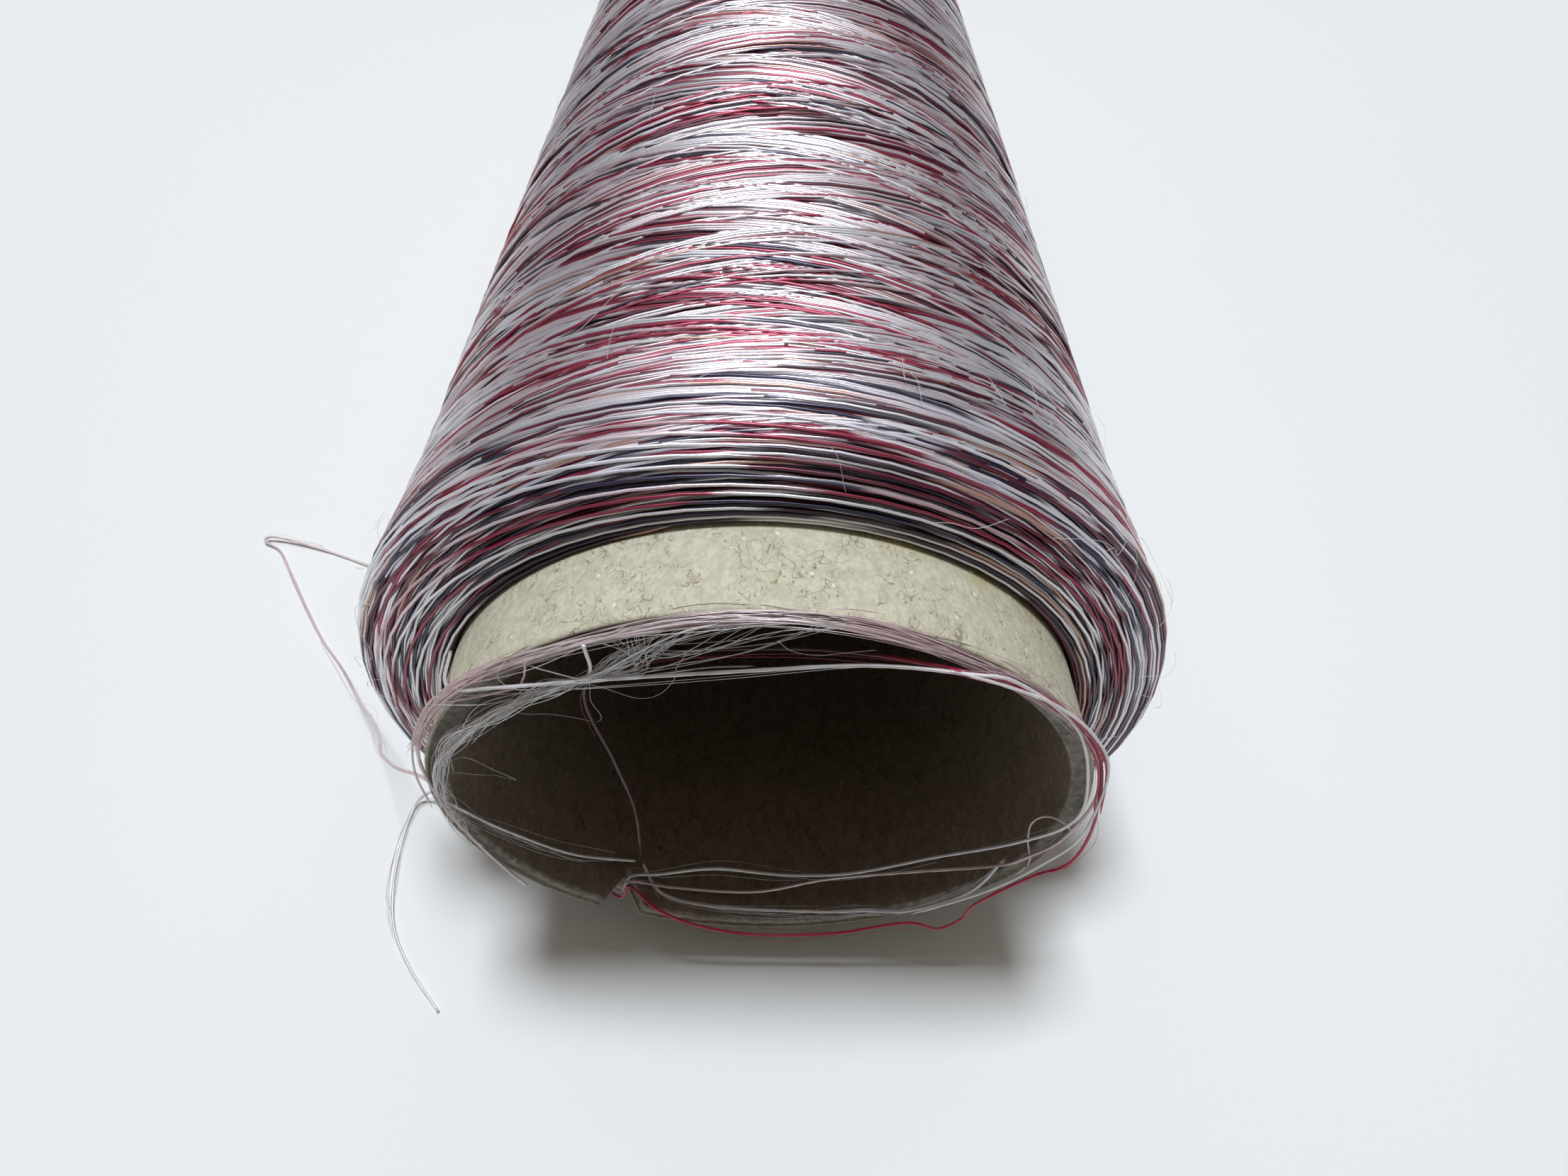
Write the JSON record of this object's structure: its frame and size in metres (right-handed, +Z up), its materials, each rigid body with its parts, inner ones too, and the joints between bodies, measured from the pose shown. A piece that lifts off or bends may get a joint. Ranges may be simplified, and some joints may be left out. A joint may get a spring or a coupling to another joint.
{
  "type": "yarn cone",
  "caption": "Tapered paper cone wound with fine space-dyed yarn, lying on its side, with loose yarn tails round its notched base rim.",
  "frame": {"origin": "middle of the cone and its yarn on the table, below the bounding box's centre, with the loose tails left out", "axes": "+Y back along the table from the wide rim towards the nose, +Z up, +X to the right of someone who faces the open rim"},
  "size_m": [0.123, 0.1833, 0.0872],
  "materials": {
    "grey_board": "matt recycled grey board with fibre flecks",
    "inner_yarn": "packed inner layers of the yarn",
    "space_dyed_yarn": "glossy filament yarn, dyed white, dusty pink, tan, crimson and navy along its length",
    "white_yarn": "glossy filament yarn, undyed stretch",
    "pink_yarn": "glossy filament yarn, dusty pink stretch",
    "crimson_yarn": "glossy filament yarn, crimson stretch"
  },
  "bodies": {
    "root": {"paper_cone": "grey_board", "yarn_core": "inner_yarn", "outer_winding": "space_dyed_yarn", "tail_white_chord": "white_yarn", "tail_pink_wrap": "pink_yarn", "tail_crimson": "crimson_yarn", "tail_white_lower": "white_yarn", "tail_white_left": "white_yarn", "running_end_loop": "pink_yarn", "running_end_tip": "white_yarn"}
  },
  "joints": []
}
